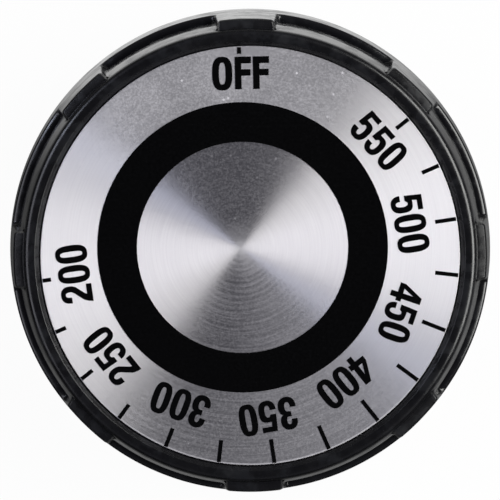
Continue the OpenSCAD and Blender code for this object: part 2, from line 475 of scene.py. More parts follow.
        # Colour: dull streaks, a lighter outer part that is a painted brightening, and the darker centre
        colour = linear(self.bright)
        for part, tint in ((streaks, self.dull), (share["outer"], self.outer), (share["hub"], self.hub)):
            colour = node(
                "Mix", {"Factor": part, "A": colour, "B": linear(tint)}, data_type="RGBA"
            )["Result"]
        relief = node("Bump", {"Strength": 0.5, "Distance": 0.003 * MM, "Height": noise["lines"]})["Normal"]
        sheet = node("BsdfPrincipled", {
            "Base Color": colour, "Metallic": metallic, "Roughness": share["rough"],
            "Anisotropic": self.anisotropy, "Tangent": radial, "Normal": relief,
        })
        node("OutputMaterial", {"Surface": sheet["BSDF"]})
        return material


@dataclass(frozen=True)
class FineSkin:
    """Finish whose colour, gloss and relief all follow one fine noise.

    Its grains have a size in mm along each axis, so they can be drawn out into lines.
    """

    name: str
    pale: str
    dark: str
    grain_mm: tuple[float, float, float]
    rough: tuple[float, float]
    relief: float
    relief_mm: float = 0.002
    # The shader's default, which a metal keeps
    ior: float = 1.5
    metallic: float = 0.0

    def build(self) -> bpy.types.Material:
        """Makes the material.

        Returns:
            The material.
        """
        material, node, place = new_material(self.name)
        scale = tuple(1 / (size * MM) for size in self.grain_mm)
        drawn = node("Mapping", {"Vector": place, "Scale": scale})["Vector"]
        grain = node("TexNoise", {"Vector": drawn, "Scale": 1.0, "Detail": 3.0})["Fac"]
        colour = node(
            "Mix", {"Factor": grain, "A": linear(self.pale), "B": linear(self.dark)}, data_type="RGBA"
        )["Result"]
        skin = node("BsdfPrincipled", {
            "Base Color": colour, "Metallic": self.metallic, "IOR": self.ior,
            "Roughness": node("MapRange", (grain, 0.3, 0.7, *self.rough))["Result"],
            "Normal": node(
                "Bump", {"Strength": self.relief, "Distance": self.relief_mm * MM, "Height": grain}
            )["Normal"],
        })
        node("OutputMaterial", {"Surface": skin["BSDF"]})
        return material


@dataclass(frozen=True)
class ScreenInk(FineSkin):
    """Black epoxy ink, screen printed and baked.

    It is a deep black with a satin face. The mesh of the screen leaves it faintly uneven.
    """

    name: str = "screen_ink"
    pale: str = "#020202"
    dark: str = "#040405"
    grain_mm: tuple[float, float, float] = (0.35, 0.35, 0.35)
    rough: tuple[float, float] = (0.17, 0.24)
    relief: float = 0.3
    ior: float = 1.45


@dataclass(frozen=True)
class SpringSteel(FineSkin):
    """Cold rolled stainless strip.

    It is a grey mirror with fine rolling lines along its length, drawn coarser than they are.
    """

    name: str = "spring_steel"
    pale: str = "#a3a2a4"
    dark: str = "#86868a"
    grain_mm: tuple[float, float, float] = (0.08, 0.08, 3.0)
    rough: tuple[float, float] = (0.24, 0.4)
    relief: float = 0.4
    metallic: float = 1.0


@dataclass(frozen=True)
class SweepPaper:
    """Matt white background paper.

    Lamps light it as paper, so it keeps the knob's shadow, and the camera sees it mostly as plain
    white. What the knob's walls mirror in it is painted light and shade: a glow of plain white near
    the knob, more beyond OFF than elsewhere and least at the left, which falls off with distance.
    """

    white: str = "#f2f2f2"
    plain_share: float = 0.96
    # The glow that reflections see is painted light and shade, set by these strengths and ways
    mirrored: tuple[float, float] = (0.22, 0.86)
    brightest: tuple[float, float] = (-0.1, 0.995)
    left_share: float = 0.42
    far_share: float = 0.12
    near_mm: float = 45.0
    far_mm: float = 130.0
    fibre_mm: float = 0.8

    def build(self) -> bpy.types.Material:
        """Makes the material.

        Returns:
            The material.
        """
        material, node, place = new_material("sweep_paper")
        fibre = node("TexNoise", {"Vector": place, "Scale": 1 / (self.fibre_mm * MM), "Detail": 2.0})["Fac"]
        relief = node("Bump", {"Strength": 0.1, "Distance": 0.01 * MM, "Height": fibre})["Normal"]
        lit = node("BsdfDiffuse", {"Color": linear(self.white), "Normal": relief})["BSDF"]

        away = node("VectorMath", (place,), operation="LENGTH")["Value"]
        way = node("VectorMath", (place,), operation="NORMALIZE")["Vector"]
        ahead = node("VectorMath", (way, (*self.brightest, 0)), operation="DOT_PRODUCT")["Value"]
        aside = node("SeparateXYZ", {"Vector": way})["X"]
        # Painted light and shade: the strength of the glow that reflections see, by direction and distance
        strength: Socket | float = 1.0
        # Start and end of each value, what it gives there, and how it goes between
        for *row, between in (
            (ahead, 0.35, 1.0, *self.mirrored, "SMOOTHSTEP"),
            (away, self.near_mm * MM, self.far_mm * MM, 1.0, self.far_share, "SMOOTHSTEP"),
            (aside, -0.97, -0.6, self.left_share, 1.0, "LINEAR"),
        ):
            share = node("MapRange", row, interpolation_type=between)["Result"]
            strength = node("Math", (strength, share), operation="MULTIPLY")["Value"]
        mirrored = node("Emission", {"Color": (1, 1, 1, 1), "Strength": strength})["Emission"]
        plain = node("Emission", {"Color": (1, 1, 1, 1), "Strength": 1.0})["Emission"]

        ray = node("LightPath")
        bounced = node(
            "Math", (ray["Is Glossy Ray"], ray["Is Transmission Ray"]), operation="ADD", use_clamp=True
        )["Value"]
        seen = node("Math", (ray["Is Camera Ray"], self.plain_share), operation="MULTIPLY")["Value"]
        paper = node("MixShader", (seen, lit, plain))["Shader"]
        node("OutputMaterial", {"Surface": node("MixShader", (bounced, paper, mirrored))["Shader"]})
        return material


# The moulded body


@dataclass
class KnobBody:
    """The one-piece phenolic moulding, as one closed surface from the dial seat to the bore's end.

    The surface is a stack of rings. In front, each ring is the knob's outline at one height: a
    grip's tip arc, its rounded corner, its drafted flank, the cove at its root and the pocket's
    arc, repeated for each grip. Behind, each ring follows the hollow's wall, ceiling and hub, and
    steps up over the ribs. Inside the hub the rings take the shape of the D bore and its slot.
    """

    name: str = "phenolic_body"
    finish: MouldedPhenolic = field(default_factory=MouldedPhenolic)
    base_r: float = 31.74
    knob_h: float = 22.2
    flange_h: float = 9.5
    flange_draft: float = 2.7
    outer_draft: float = 3.9
    ledge_slope: float = 18.0
    ledge_w: float = 1.0
    drum_draft: float = 3.4
    waist_z: float = 17.2
    wall: float = 2.4
    front_t: float = 2.8
    edge_r: float = 0.35
    seam_in: float = 0.15
    front_edge_r: float = 0.04
    chamfer: tuple[float, float] = (0.2, 0.24)
    ledge_edge_r: float = 0.16
    ledge_edge_drop: float = 0.07
    ledge_bend: float = 26.0
    wall_start: float = 0.05
    waist_soft: float = 0.3
    hollow_r: float = 1.0
    grip_count: int = 8
    grip_w: float = 7.45
    grip_taper: float = 0.35
    flank_draft: float = 2.0
    grip_step: float = 0.7
    grip_fall: float = 0.1
    crown_l: float = 1.05
    crown_h: float = 0.2
    crown_bend: float = 1.15
    face_cove_r: float = 0.06
    root_r: float = 0.85
    root_share: float = 0.5
    corner_r: float = 0.6
    corner_share: float = 0.4
    corner_least: float = 0.02
    foot_fillet: float = 0.5
    plate_r: float = 27.0
    plate_t: float = 0.5
    plate_sink: float = 0.5
    plate_gap: float = 0.2
    rim_bevel: float = 0.5
    rim_w: float = 0.9
    rim_r: float = 0.5
    rim_round: float = 0.85
    bevel_edge_r: float = 0.1
    seat_edge_r: float = 0.08
    seat_cove_r: float = 0.06
    seat_lap: float = 2.0
    hub_r: float = 7.0
    hub_draft: float = 1.0
    hub_recess: float = 1.0
    hub_cove_r: float = 0.1
    hub_lap: float = 1.0
    rib_count: int = 4
    rib_t: float = 1.8
    rib_recess: float = 3.0
    rib_cove_r: float = 0.4
    rib_edge_r: float = 0.2
    rib_open: float = 0.6
    pilot_r: float = 3.45
    pilot_l: float = 4.0
    bore_r: float = 3.225
    flat_y: float = 2.415
    bore_l: float = 15.0
    bore_edge_r: float = 0.15
    slot_w: float = 3.0
    slot_y: float = 3.35
    # Longest steps between rings: below the ledge, over the rim, and in the hollow
    low_step: float = 1.3
    rim_step: float = 0.6
    back_step: float = 2.0
    # Columns in half a sector: tip arc, corner, flank, root cove, pocket arc
    tip_n: int = 8
    corner_n: int = 4
    flank_n: int = 2
    cove_n: int = 5
    pocket_n: int = 11
    # Columns in half a rib: root cove, flank, top edge, top
    rib_columns: tuple[int, int, int, int] = (4, 3, 3, 4)
    # Steps between rings: ledge, foot fillet, wall to its waist, wall above it, face, cove behind it
    ledge_n: int = 8
    foot_n: int = 5
    wall_n: int = 5
    lean_n: int = 4
    face_n: int = 6
    seam_n: int = 3
    # Facets in the roundings of the chamfer and of the rim
    chamfer_n: int = 2
    rim_n: int = 6
    # Steps down the bore: its rounded mouth, its round stretch, its D stretch
    mouth_n: int = 3
    pilot_n: int = 3
    d_n: int = 5

    @property
    def columns(self) -> int:
        """Columns in the whole ring."""
        return 2 * self.grip_count * self.half_columns

    @property
    def half_columns(self) -> int:
        """Columns from the middle of a grip to the middle of a pocket."""
        return self.tip_n + self.corner_n + self.flank_n + self.cove_n + self.pocket_n

    @property
    def flange_r(self) -> float:
        """Radius of the flange's outer edge."""
        return self.outer_r(self.flange_h)

    @property
    def foot(self) -> tuple[float, float]:
        """Radius and height of the drum's foot."""
        rise = self.ledge_w * np.tan(np.radians(self.ledge_slope))
        return self.flange_r - self.ledge_w, self.flange_h + rise

    @property
    def rim_in_r(self) -> float:
        """Radius of the rim's inner edge."""
        return self.plate_r + self.plate_gap + self.rim_bevel

    @property
    def rim_out_r(self) -> float:
        """Radius at which the drum wall would meet the rim's face."""
        return self.rim_in_r + self.rim_w + self.rim_r

    @property
    def grip_z(self) -> float:
        """Height of the grips' front faces at the rim's inner edge."""
        return self.knob_h - self.grip_step

    @property
    def seat_z(self) -> float:
        """Height of the seat that the plate lies on."""
        return self.knob_h - self.plate_sink - self.plate_t

    @property
    def ceiling_z(self) -> float:
        """Height of the hollow's ceiling."""
        return self.seat_z - self.front_t

    def hub_at(self, z: float) -> float:
        """Radius of the hub at height z, which grows from its face to the ceiling."""
        return self.hub_r + (z - self.hub_recess) * np.tan(np.radians(self.hub_draft))

    def outer_r(self, z: float | Array) -> float | Array:
        """Radius of the outer face: it has the flange's draft, and above it the grips' own.

        Args:
            z: height.

        Returns:
            The radius there.
        """
        flange, grip = np.tan(np.radians([self.flange_draft, self.outer_draft]))
        above = np.maximum(z - self.flange_h, 0)
        return self.base_r - (z - above) * flange - above * grip

    def low_drum_r(self, z: float | Array) -> float | Array:
        """Radius at height z of the drum wall's lower part, carried on in its own draft."""
        foot_r, foot_z = self.foot
        return foot_r - (z - foot_z) * np.tan(np.radians(self.drum_draft))

    def drum_r(self, z: float | Array) -> float | Array:
        """Radius of the drum wall.

        Up to the waist the wall has the drum's draft. From there it leans further in and runs in
        a straight line to the rim, so the smaller of the two lines holds at each height.

        Args:
            z: height.

        Returns:
            The radius there.
        """
        waist_r = self.low_drum_r(self.waist_z)
        lean = (waist_r - self.rim_out_r) / (self.knob_h - self.waist_z)
        return np.minimum(self.low_drum_r(z), waist_r - (z - self.waist_z) * lean)

    def front_z(self, r: float | Array) -> float | Array:
        """Height of a grip's front face: a straight fall, then a crown towards the tip.

        Args:
            r: radius.

        Returns:
            The height there.
        """
        tip = self.outer_r(self.grip_z)
        fall = (r - self.rim_in_r) / (tip - self.rim_in_r)
        crown = np.clip((r - tip + self.crown_l) / self.crown_l, 0, 1) ** self.crown_bend
        return self.grip_z - self.grip_fall * fall - self.crown_h * crown

    def outline(self, z: Array, grip_r: Array, pocket_r: Array, inset: Array) -> tuple[Array, Array]:
        """Half of one sector of the outline, at several heights at once.

        A flank is a straight line in plan. The corner between it and the tip's circle is an arc
        whose centre lies its radius inside both, and the root cove is an arc whose centre lies its
        radius outside both. Each centre is where a line parallel to the flank meets a circle.

        Args:
            z: heights.
            grip_r: radius of the grip's tip at each height.
            pocket_r: radius of the pocket's wall at each height.
            inset: how far the grip has drawn in from its flank and tip at each height.

        Returns:
            Bearings in degrees from the grip's middle, and radii, heights by columns.
        """
        depth = grip_r - pocket_r
        corner = np.minimum(self.corner_r, self.corner_share * depth) - inset
        corner = np.maximum(corner, self.corner_least)
        cove = np.minimum(self.root_r, self.root_share * depth)
        tip = self.outer_r(self.grip_z)
        tip_half = (self.grip_w - self.grip_taper) / 2
        tip_y = np.sqrt(tip**2 - tip_half**2)
        lean = np.arctan2(self.grip_taper / 2, tip_y - self.drum_r(self.grip_z))
        inward = np.array([np.sin(lean), -np.cos(lean)])
        normal = np.array([np.cos(lean), np.sin(lean)])
        drop = self.grip_z - z
        flank = np.stack([
            tip_half + drop * np.tan(np.radians(self.flank_draft)),
            tip_y + drop * np.tan(np.radians(self.outer_draft)),
        ], axis=-1) - normal * inset[:, None]

        def centre(offset: Array, reach: Array) -> Array:
            """Finds where a line parallel to the flank meets a circle about the axis.

            Args:
                offset: how far outside the flank the line runs, at each height.
                reach: radius of the circle, at each height.

            Returns:
                Points (x, y), one row for each height.
            """
            start = flank + normal * offset[:, None]
            along = start @ inward
            slide = -along - np.sqrt(along**2 - (start**2).sum(-1) + reach**2)
            return start + inward * slide[:, None]

        def arc(middle: Array, size: Array, first: Array, last: Array, count: int) -> Array:
            """Arc about each middle from bearing first to bearing last, without its last point."""
            turn = np.radians(blended(first[:, None], last[:, None], np.arange(count) / count))
            return middle[:, None] + size[:, None, None] * np.stack([np.sin(turn), np.cos(turn)], axis=-1)

        rows = len(z)
        zero = np.zeros(rows)
        corner_at = centre(-corner, grip_r - corner)
        cove_at = centre(cove, pocket_r + cove)
        side = bearing_of(normal)
        flank_from = corner_at + normal * corner[:, None]
        flank_to = cove_at - normal * cove[:, None]
        share = (np.arange(self.flank_n) / self.flank_n)[None, :, None]
        origin = np.zeros((rows, 2))
        mid_pocket = np.full(rows, 180 / self.grip_count)
        points = np.concatenate([
            arc(origin, grip_r, zero, bearing_of(corner_at), self.tip_n),
            arc(corner_at, corner, bearing_of(corner_at), zero + side, self.corner_n),
            blended(flank_from[:, None], flank_to[:, None], share),
            arc(cove_at, cove, zero + side - 180, bearing_of(cove_at) - 180, self.cove_n),
            arc(origin, pocket_r, bearing_of(cove_at), mid_pocket, self.pocket_n),
            arc(origin, pocket_r, mid_pocket, mid_pocket, 1),
        ], axis=1)
        return bearing_of(points), np.linalg.norm(points, axis=-1)

    def around(self, bearing: Array, value: Array, count: int) -> tuple[Array, Array]:
        """Repeats half a sector, mirrored and turned, round the whole ring.

        Args:
            bearing: bearings of the half sector, rows by columns.
            value: what goes with them, of the same shape, or with one more axis.
            count: sectors in the ring.

        Returns:
            Bearings and values of the whole ring.
        """
        pitch = 360 / count
        sector = np.concatenate([bearing[:, :-1], pitch - bearing[:, :0:-1]], axis=1)
        ring = np.concatenate([sector + k * pitch for k in range(count)], axis=1)
        mirrored = np.concatenate([value[:, :-1], value[:, :0:-1]], axis=1)
        return ring, np.concatenate([mirrored] * count, axis=1)

    def low_profile(self) -> Array:
        """Profile from the back edge up the flange and over the ledge to the drum wall.

        The ledge is an arc, level at the drum's foot and steepest at its outer edge.

        Returns:
            Points of radius and height.
        """
        foot_r, foot_z = self.foot
        start_z = foot_z + self.wall_start
        bend = np.radians(np.linspace(self.ledge_bend, 0, self.ledge_n + 1))
        bend_r = (self.ledge_w - self.wall_start) / np.sin(bend[0])
        ledge = np.stack([foot_r + bend_r * np.sin(bend), foot_z - bend_r * (1 - np.cos(bend))], axis=1)
        return filled(rounded_path([
            (self.base_r - self.edge_r - self.seam_in, 0, 0),
            (self.base_r, 0, self.edge_r),
            (self.flange_r, self.flange_h - self.ledge_edge_drop, self.ledge_edge_r),
            *((r, z, 0) for r, z in ledge[1:-1]),
            (foot_r, foot_z, 0),
            (self.drum_r(start_z), start_z, 0),
        ]), self.low_step)

    def edge_profile(self) -> Array:
        """Profile of a grip's front edge: a chamfer between its outer cone and its crown.

        Returns:
            Points of radius and height.
        """
        tip_r = self.outer_r(self.grip_z - self.crown_h)
        shoulder_z = self.front_z(tip_r) - self.chamfer[1]
        brow_r = tip_r - self.chamfer[0]
        lap = self.wall_start
        return rounded_path([
            (self.outer_r(shoulder_z - lap), shoulder_z - lap, 0),
            (self.outer_r(shoulder_z), shoulder_z, self.front_edge_r),
            (brow_r, self.front_z(brow_r), self.front_edge_r),
            (brow_r - lap, self.front_z(brow_r - lap), 0),
        ], self.chamfer_n)

    def rim_profile(self, start_z: float) -> Array:
        """Profile from the drum wall over the rim and down its bevel into the dial seat.

        Args:
            start_z: height on the drum wall at which it begins. That point is left out.

        Returns:
            Points of radius and height.
        """
        recess_r = self.plate_r + self.plate_gap
        path = filled(rounded_path([
            (self.drum_r(start_z), start_z, 0),
            (self.rim_out_r, self.knob_h, self.rim_round),
            (self.rim_in_r, self.knob_h, self.bevel_edge_r),
            (recess_r, self.knob_h - self.plate_sink, self.seat_edge_r),
            (recess_r, self.seat_z, self.seat_cove_r),
            (recess_r - self.seat_lap, self.seat_z, 0),
        ], self.rim_n), self.rim_step)[1:]
        return np.concatenate([path, path[-1:] * (0.5, 1)])

    def front_rings(self) -> tuple[Array, Array]:
        """Rings from the back edge of the flange up the outside and over the rim to the dial seat.

        Returns:
            Rings by columns by 3, and the bearings of the first ring.
        """
        foot_z = self.foot[1]
        start_z = foot_z + self.wall_start
        pocket_r, low_z = self.low_profile()[:-1].T
        # Round the back edge, grips and pockets have the same radius
        edge = low_z < 2 * self.edge_r
        grip_r = np.where(edge, pocket_r, np.maximum(self.outer_r(low_z), pocket_r))
        edge_r, round_z = self.edge_profile().T
        round_in = self.outer_r(round_z) - edge_r

        # The flank runs out into the ledge in a quarter circle
        first_swell = np.arccos(1 - (start_z - foot_z) / self.foot_fillet)
        swell = np.linspace(first_swell, np.pi / 2, self.foot_n + 1)
        fillet_z = foot_z + self.foot_fillet
        wall_z = np.concatenate([
            foot_z + self.foot_fillet * (1 - np.cos(swell)),
            np.linspace(fillet_z, self.waist_z - self.waist_soft, self.wall_n + 1)[1:],
            np.linspace(self.waist_z + self.waist_soft, round_z[0], self.lean_n + 1)[:-1],
        ])
        z = np.concatenate([wall_z, round_z])
        flare = self.foot_fillet * (1 - np.sin(swell))
        inset = np.concatenate([-flare, np.zeros(len(wall_z) - len(swell)), round_in])
        bearing, radius = self.outline(z, self.outer_r(z) - np.maximum(inset, 0), self.drum_r(z), inset)
        grip_share = np.concatenate([
            np.ones(self.tip_n + self.corner_n + self.flank_n),
            np.linspace(1, 0, self.cove_n + 1),
            np.zeros(self.pocket_n),
        ])

        # Below: the same bearings all the way down, and the outline's depth shrinks to nothing
        depth = (radius[0] - self.drum_r(start_z)) / (self.outer_r(start_z) - self.drum_r(start_z))
        low_radius = blended(pocket_r[:, None], grip_r[:, None], depth)
        low_bearing = np.repeat(bearing[:1], len(low_z), axis=0)

        # Above: pocket columns climb the drum wall while grip columns go over the edge
        small = self.face_cove_r
        seam_z = self.front_z(self.drum_r(self.grip_z) + small)
        climb = np.linspace(wall_z[-1], seam_z, len(round_z) + self.face_n + 1)[1:]
        wall_rows = len(wall_z)
        height = np.repeat(z[:, None], bearing.shape[1], axis=1)
        lift = climb[:len(round_z)]
        rising = np.linspace(0, 1, len(round_z) + 1)[1:, None]
        over = (self.front_z(radius[-1]) - self.front_z(radius[-1, 0])) * rising
        height[wall_rows:] = blended(lift[:, None], round_z[:, None] + over, grip_share)
        pocket_cols = slice(-self.pocket_n - 1, None)
        radius[wall_rows:, pocket_cols] = self.drum_r(lift)[:, None]

        share = (np.arange(1, self.face_n + 1) / self.face_n)[:, None]
        lift = climb[len(round_z):][:, None]
        inner = self.drum_r(seam_z) + small * grip_share
        face_r = np.where(grip_share > 0, blended(radius[-1], inner, share), self.drum_r(lift))
        face_z = blended(lift, self.front_z(face_r), grip_share)
        face_bearing = np.repeat(bearing[-1:], self.face_n, axis=0)

        swing = np.linspace(0, np.pi / 2, self.seam_n + 1)[1:, None]
        cove_z = seam_z + small * (1 - np.cos(swing)) + np.zeros_like(grip_share)
        cove_r = self.drum_r(cove_z) + small * grip_share * (1 - np.sin(swing))
        cove_bearing = np.repeat(bearing[-1:], len(swing), axis=0)

        # Over the rim the columns settle into even steps
        rim = self.rim_profile(cove_z[-1, 0])
        even = np.linspace(0, 180 / self.grip_count, self.half_columns + 1)
        settle = np.clip(np.linspace(0, 2, len(rim)), 0, 1)[:, None]
        rim_bearing = blended(bearing[-1], even, settle)
        rim_r = np.repeat(rim[:, :1], bearing.shape[1], axis=1)
        rim_z = np.repeat(rim[:, 1:], bearing.shape[1], axis=1)

        bearings = np.concatenate([low_bearing, bearing, face_bearing, cove_bearing, rim_bearing])
        radii = np.concatenate([low_radius, radius, face_r, cove_r, rim_r])
        heights = np.concatenate([
            np.repeat(low_z[:, None], bearing.shape[1], axis=1), height, face_z, cove_z, rim_z
        ])
        ring_bearing, ring = self.around(bearings, np.stack([radii, heights], axis=-1), self.grip_count)
        return from_polar(ring_bearing, ring[..., 0], ring[..., 1]), ring_bearing[0]

    def back_profile(self) -> Array:
        """Profile from the back edge down the hollow's wall, along its ceiling and up the hub.

        Returns:
            Points of radius and height.
        """
        ceiling = self.ceiling_z
        return filled(rounded_path([
            (self.base_r - self.edge_r - self.seam_in, 0, 0),
            (self.low_drum_r(0) - self.wall, 0, self.edge_r),
            (self.low_drum_r(self.rib_recess) - self.wall, self.rib_recess, 0),
            (self.low_drum_r(ceiling) - self.wall, ceiling, self.hollow_r),
            (self.hub_at(ceiling), ceiling, self.hub_cove_r),
            (self.hub_at(self.rib_recess), self.rib_recess, 0),
            (self.hub_r, self.hub_recess, self.edge_r),
            (self.hub_r - self.hub_lap, self.hub_recess, 0),
        ]), self.back_step)

    def rib_section(self) -> tuple[Array, Array, Array, Array]:
        """Section across half a rib, from the foot of its root cove to the middle of its top edge.

        Returns:
            For each column: distance from the rib's middle plane, how far the cove lifts it off the
            floor, share of the way from floor to top edge, and how far it lies below that edge.
        """
        cove_n, flank_n, edge_n, top_n = self.rib_columns
        half_t, cove, edge = self.rib_t / 2, self.rib_cove_r, self.rib_edge_r
        swing = np.linspace(0, np.pi / 2, cove_n + 1)
        turn = np.linspace(0, np.pi / 2, edge_n + 1)
        up = np.arange(1, flank_n) / flank_n
        offset = np.concatenate([
            half_t + cove * (1 - np.sin(swing)),
            np.full(flank_n - 1, half_t),
            half_t - edge * (1 - np.cos(turn)),
            np.linspace(half_t - edge, 0, top_n + 1)[1:],
        ])
        inset = np.concatenate([cove * (1 - np.cos(swing)), cove * (1 - up), np.zeros(edge_n + 1 + top_n)])
        lift = np.concatenate([np.zeros(cove_n + 1), up, np.ones(edge_n + 1 + top_n)])
        sink = np.concatenate([np.zeros(cove_n + flank_n), edge * (1 - np.sin(turn)), np.zeros(top_n)])
        return offset, inset, lift, sink

    def back_rings(self, first_bearing: Array) -> tuple[Array, Array]:
        """Rings from the back face down the hollow's wall, over its ceiling and up the hub.

        The ribs stand across this path. A rib's column keeps its distance from the rib's middle
        plane, and lies between the path and the rib's straight top edge.

        Args:
            first_bearing: bearings of the ring that these rings begin at.

        Returns:
            Rings by columns by 3, and the bearings of the last ring.
        """
        path = self.back_profile()
        steps = np.linalg.norm(np.diff(path, axis=0), axis=1)
        length = np.concatenate([[0], np.cumsum(steps)])
        run = np.gradient(path, axis=0)
        run /= np.linalg.norm(run, axis=1, keepdims=True)
        normal = np.stack([run[:, 1], -run[:, 0]], axis=1)
        deep = np.flatnonzero(path[:, 1] >= self.rib_recess - TINY)
        from_wall, from_hub = length - length[deep[0]], length[deep[-1]] - length
        crossed = np.minimum(from_wall, from_hub) > -TINY
        open_up = np.clip(np.minimum(from_wall, from_hub) / self.rib_open, 0, 1)[:, None]
        span = length[deep[-1]] - length[deep[0]]
        over = blended(path[deep[0], 0], path[deep[-1], 0], np.clip(from_wall / span, 0, 1))

        offset, inset, lift, sink = self.rib_section()
        floor_n = 2 * self.half_columns + 1 - len(offset)
        low = path[:, None] + normal[:, None] * inset[None, :, None] * open_up[..., None]
        high = np.stack([
            np.repeat(over[:, None], len(offset), axis=1),
            self.rib_recess + sink * open_up,
        ], axis=-1)
        rib = np.where(crossed[:, None, None], blended(low, high, lift[None, :, None]), path[:, None])
        rib_bearing = 180 / self.rib_count - np.degrees(np.arcsin(offset / rib[..., 0]))
        floor_bearing = rib_bearing[:, :1] * np.arange(floor_n) / floor_n
        floor = np.repeat(path[:, None], floor_n, axis=1)
        bearing, ring = self.around(
            np.concatenate([floor_bearing, rib_bearing], axis=1),
            np.concatenate([floor, rib], axis=1),
            self.rib_count,
        )
        settle = np.clip(length / length[np.flatnonzero(path[:, 1] > 0)[0]], 0, 1)[:, None]
        bearing = blended(first_bearing, bearing, settle)
        return from_polar(bearing, ring[..., 0], ring[..., 1])[1:], bearing[-1]

    def bore_outline(self) -> tuple[Array, Array, Array]:
        """Outlines of the round stretch and of the D bore, both with the spring's slot.

        Along each bearing an outline is as far out as the farther of the bore and the slot.

        Returns:
            Bearings, radii of the round stretch, and radii of the D bore.
        """
        half = self.slot_w / 2
        marks = [
            180 - np.degrees(np.arccos(self.flat_y / self.bore_r)),
            180 - np.degrees(np.arctan2(half, self.flat_y)),
            180 - np.degrees(np.arcsin(half / self.pilot_r)),
            180 - np.degrees(np.arctan2(half, self.slot_y)),
            180 - np.degrees(np.arccos(self.slot_y / self.pilot_r)),
            180.0,
        ]
        # Columns between the marks; the round part of the bore takes the rest
        counts = [12, 8, 3, 12, 12]
        counts.insert(0, self.columns // 2 - sum(counts))
        side = np.concatenate([
            np.linspace(a, b, n, endpoint=False) for a, b, n in zip([0.0, *marks], marks, counts)
        ])
        bearing = np.concatenate([side, [180.0], 360 - side[:0:-1]])
        angle = np.radians(bearing)
        across, down = np.abs(np.sin(angle)), -np.cos(angle)
        below, low = down > TINY, np.maximum(down, TINY)
        flat = np.where(below, self.flat_y / low, np.inf)
        slot = np.minimum(half / np.maximum(across, TINY), np.where(below, self.slot_y / low, 0))
        return (
            bearing,
            np.maximum(self.pilot_r, slot),
            np.maximum(np.minimum(self.bore_r, flat), slot),
        )

    def bore_rings(self, first_bearing: Array) -> Array:
        """Rings from the hub's face down the bore to its end.

        Args:
            first_bearing: bearings of the ring on the hub's face that these begin at.

        Returns:
            Rings by columns by 3.
        """
        bearing, round_r, d_r = self.bore_outline()
        mouth_z, edge = self.hub_recess, self.bore_edge_r
        step_z = mouth_z + self.pilot_l
        end_z = mouth_z + self.bore_l
        hub_r = self.hub_r - self.hub_lap
        # Across the hub's face, over the mouth, down both stretches, and in over the bore's end
        rings = [
            (blended(first_bearing, bearing, k), blended(hub_r, round_r + edge, k), mouth_z)
            for k in (1 / 3, 2 / 3, 1)
        ]
        rings += [
            (bearing, round_r + edge * (1 - np.sin(turn)), mouth_z + edge * (1 - np.cos(turn)))
            for turn in np.linspace(0, np.pi / 2, self.mouth_n + 1)[1:]
        ]
        rings += [(bearing, round_r, z) for z in np.linspace(mouth_z + edge, step_z, self.pilot_n + 1)[1:]]
        rings += [(bearing, d_r, z) for z in np.linspace(step_z, end_z, self.d_n + 1)]
        rings += [(bearing, d_r * k, end_z) for k in (0.66, 0.33)]
        return np.stack([from_polar(*ring) for ring in rings])

    def build(self) -> list[bpy.types.Object]:
        """Builds and dresses the body, and lets it stand for the CAD node.

        Returns:
            The body's object.
        """
        front, edge_bearing = self.front_rings()
        back, hub_bearing = self.back_rings(edge_bearing)
        rings = np.concatenate([front[::-1], back, self.bore_rings(hub_bearing)])
        seat = np.array([0, 0, self.seat_z])
        end = np.array([0, 0, self.hub_recess + self.bore_l])
        body = grid_object(self.name, rings, (seat, end))
        body.data.materials.append(self.finish.build())
        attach(body, BODY)
        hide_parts("knob_body")
        return [body]


# The dial


# Height of a numeral on the grid that characters are drawn on
GRID = 100


@dataclass(frozen=True)
class Bow:
    """Arc of a superellipse on the characters' grid."""

    x: float
    y: float
    half_w: float
    half_h: float
    start: float
    stop: float
    power: float = 2.4
    steps: int = 24

    def points(self) -> Array:
        """Works the arc out: cosine and sine are each raised to 2 / power, and keep their signs.

        Returns:
            Points of the arc, one row each.
        """
        angle = np.radians(np.linspace(self.start, self.stop, self.steps))
        wave = np.stack([np.cos(angle), np.sin(angle)], axis=1)
        reach = np.sign(wave) * np.abs(wave) ** (2 / self.power)
        return (self.x, self.y) + (self.half_w, self.half_h) * reach


@dataclass(frozen=True)
class Corners:
    """Straight run of an outline through corners, on the same grid."""

    at: tuple[tuple[float, float], ...]

    def points(self) -> Array:
        """The corners as an array."""
        return np.array(self.at, float)


@dataclass(frozen=True)
class Glyph:
    """Outlines of one character, and the width that it takes."""

    width: float
    loops: tuple[tuple[Bow | Corners, ...], ...]

    def outlines(self) -> list[Array]:
        """Closed outlines of the character: its outer edge, then its holes."""
        return [np.concatenate([run.points() for run in loop]) for loop in self.loops]


